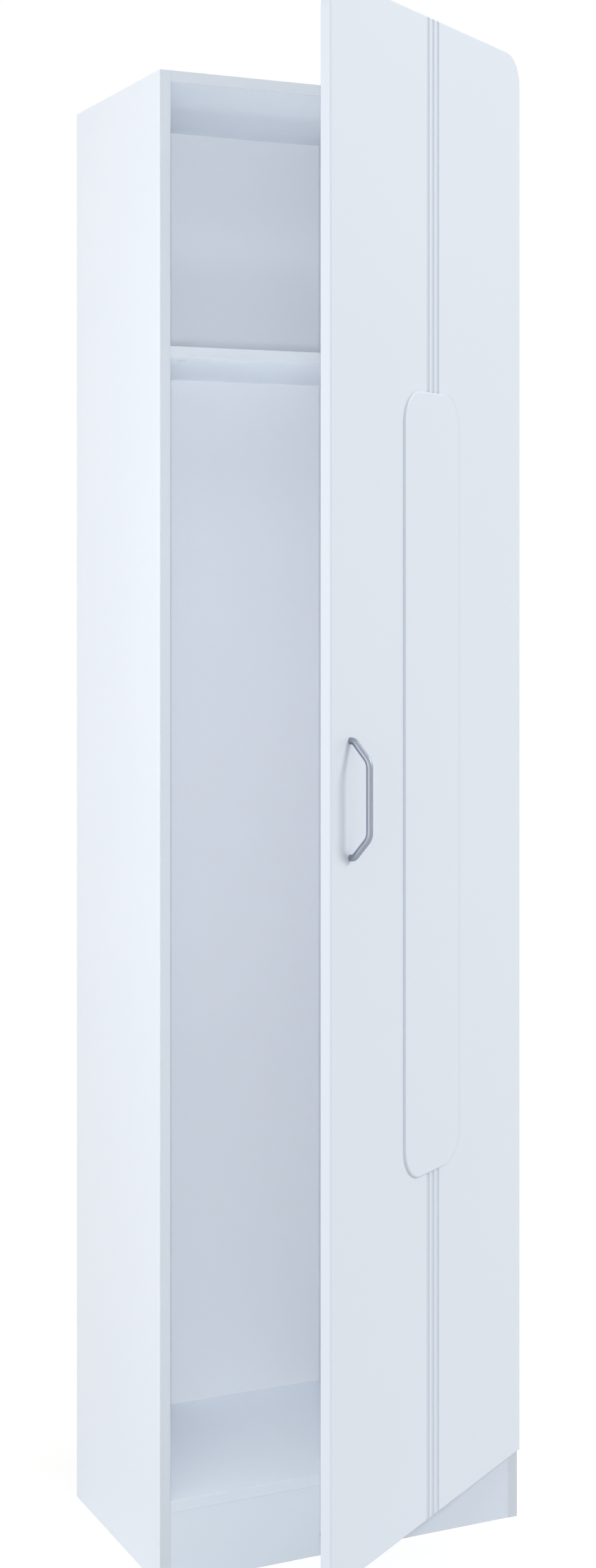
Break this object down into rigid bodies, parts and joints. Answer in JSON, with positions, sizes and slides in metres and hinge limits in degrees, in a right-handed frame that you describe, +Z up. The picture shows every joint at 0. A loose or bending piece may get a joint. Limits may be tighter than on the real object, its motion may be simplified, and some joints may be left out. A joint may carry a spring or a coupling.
{
  "type": "wardrobe cabinet",
  "caption": "Tall narrow white wardrobe cabinet with a hat shelf and a right-hinged door that has grooves, a raised long pad, rounded top corners and a metal bow handle, shown ajar.",
  "frame": {"origin": "middle of the front plinth's underside, on the floor", "axes": "+Z up, +X to the right as seen from the front, +Y to the back; the front faces -Y"},
  "size_m": [0.57, 0.6759, 2.167],
  "materials": {
    "white_laminate": "white melamine-faced chipboard, fine matt grain",
    "white_hardboard": "white lacquered thin hardboard",
    "white_door_film": "satin white film on fibreboard",
    "satin_metal": "satin nickel",
    "nickel_plated_steel": "nickel plated pressed steel",
    "zinc_plated_steel": "zinc plated",
    "cast_zinc": "plain die casting",
    "beech": "bare fluted beech",
    "clear_rubber": "soft translucent"
  },
  "bodies": {
    "carcass": {"side_panel_left": "white_laminate", "side_panel_right": "white_laminate", "top_panel": "white_laminate", "bottom_panel": "white_laminate", "hat_shelf": "white_laminate", "front_plinth": "white_laminate", "back_sheet": "white_hardboard", "back_nails": "zinc_plated_steel", "cam_bolts": "zinc_plated_steel", "cam_locks": "cast_zinc", "dowels": "beech", "plate_screws": "zinc_plated_steel", "arm_screws": "zinc_plated_steel", "hinge_arm_1": "nickel_plated_steel", "hinge_arm_2": "nickel_plated_steel", "hinge_arm_3": "nickel_plated_steel", "hinge_arm_4": "nickel_plated_steel", "hinge_plate_1": "nickel_plated_steel", "hinge_plate_2": "nickel_plated_steel", "hinge_plate_3": "nickel_plated_steel", "hinge_plate_4": "nickel_plated_steel"},
    "door": {"door_panel": "white_door_film", "door_pad": "white_door_film", "handle_bow": "satin_metal", "handle_screws": "zinc_plated_steel", "door_bumpers": "clear_rubber", "hinge_pins": "zinc_plated_steel", "cup_screws": "zinc_plated_steel", "hinge_cup_1": "nickel_plated_steel", "hinge_cup_2": "nickel_plated_steel", "hinge_cup_3": "nickel_plated_steel", "hinge_cup_4": "nickel_plated_steel"}
  },
  "joints": [
    {"name": "door_swing", "type": "hinge", "parent": "carcass", "child": "door", "pos_m": [0.2725, -0.021, 0.226], "axis": [0, 0, 1], "range_deg": [-34.2, 65.8]}
  ]
}
